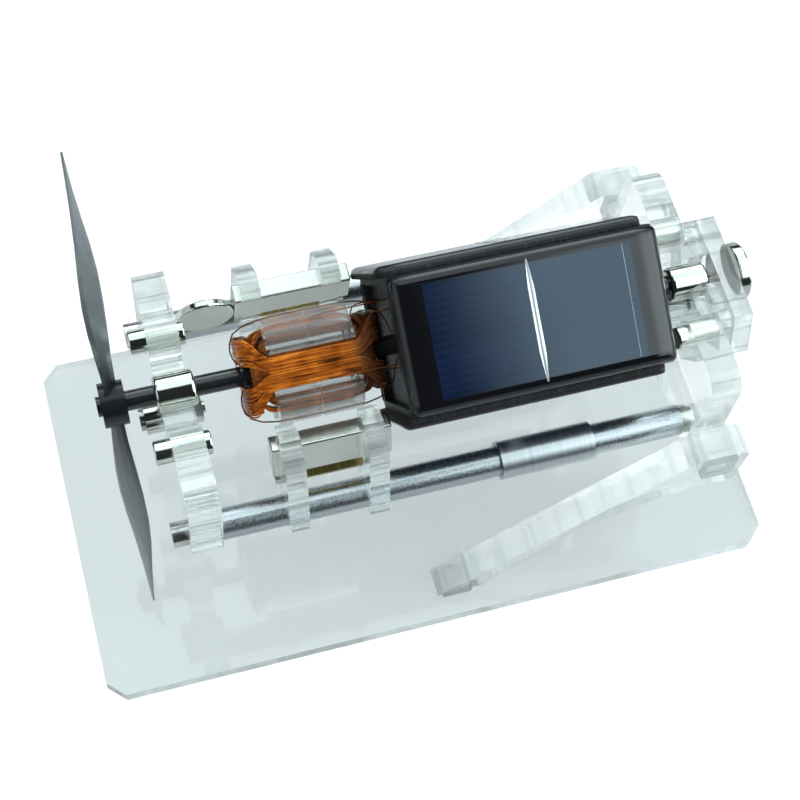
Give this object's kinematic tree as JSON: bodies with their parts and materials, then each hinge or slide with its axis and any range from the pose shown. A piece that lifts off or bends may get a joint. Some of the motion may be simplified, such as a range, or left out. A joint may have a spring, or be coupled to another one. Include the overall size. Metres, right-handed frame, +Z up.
{
  "type": "demonstration electric motor",
  "caption": "Solar motor whose rotor floats on magnets, with a clear stand, wound cross armature and propeller.",
  "frame": {"origin": "centre of the underside of the base plate", "axes": "+X along the shaft from the propeller to the needle, +Y away from the viewer, +Z up"},
  "size_m": [0.19, 0.101, 0.1444],
  "materials": {
    "clear_acrylic": "polished, laser-cut edges",
    "nickel": "bright nickel plate",
    "rod_aluminium": "worn, with fine scratches",
    "sleeve_aluminium": "brushed",
    "steel": "plated",
    "brass": "machined",
    "propeller_plastic": "satin",
    "shaft_black": "glossy",
    "core_board": "matt",
    "panel_resin": "glossy casting resin",
    "silicon": "under clear resin",
    "cell_metal": "printed metal",
    "coil_inner": "enamelled copper, packed",
    "enamelled_copper": "enamelled copper, glossy",
    "lead_enamel": "enamelled copper, thin"
  },
  "bodies": {
    "stand": {"base_plate": "clear_acrylic", "near_strut": "clear_acrylic", "far_strut": "clear_acrylic", "front_bracket": "clear_acrylic", "rear_bracket": "clear_acrylic", "thrust_spacer": "clear_acrylic", "thrust_plate": "clear_acrylic", "thrust_magnet": "nickel", "near_rod": "rod_aluminium", "far_rod": "rod_aluminium", "near_sleeve": "sleeve_aluminium", "far_sleeve": "sleeve_aluminium", "front_rod_screws": "steel", "rear_rod_plugs": "steel", "front_side_magnets": "nickel", "rear_side_magnets": "nickel", "front_lower_magnet": "nickel", "rear_lower_magnet": "nickel", "lower_magnet_screws": "steel", "lower_magnet_nuts": "steel"},
    "near_carriage": {"near_block_magnet": "nickel", "near_front_clip": "clear_acrylic", "near_rear_clip": "clear_acrylic", "near_bar": "brass", "near_clip_screws": "steel"},
    "far_carriage": {"far_block_magnet": "nickel", "far_front_clip": "clear_acrylic", "far_rear_clip": "clear_acrylic", "far_bar": "brass", "far_clip_screws": "steel", "loose_disc_magnet": "nickel"},
    "rotor": {"propeller": "propeller_plastic", "shaft": "shaft_black", "front_ring_magnet": "nickel", "rear_ring_magnet": "nickel", "needle_tip": "brass", "core_tube": "core_board", "front_end_plate": "core_board", "rear_end_plate": "core_board", "top_panel": "panel_resin", "near_panel": "panel_resin", "bottom_panel": "panel_resin", "far_panel": "panel_resin", "solar_cells": "silicon", "cell_busbars": "cell_metal", "front_coil_former": "clear_acrylic", "rear_coil_former": "clear_acrylic", "coil_a_core": "coil_inner", "coil_a_turns": "enamelled_copper", "coil_b_core": "coil_inner", "coil_b_turns": "enamelled_copper", "lead_wires": "lead_enamel"}
  },
  "joints": [
    {"name": "rotor_spin", "type": "hinge", "parent": "stand", "child": "rotor", "pos_m": [0, 0, 0.078], "axis": [1, 0, 0], "continuous": true},
    {"name": "near_carriage_swing", "type": "hinge", "parent": "stand", "child": "near_carriage", "pos_m": [-0.029, -0.0283, 0.0566], "axis": [-1, 0, 0], "range_deg": [-300, 2]},
    {"name": "far_carriage_swing", "type": "hinge", "parent": "stand", "child": "far_carriage", "pos_m": [-0.029, 0.0283, 0.0566], "axis": [1, 0, 0], "range_deg": [-290, 12]}
  ]
}
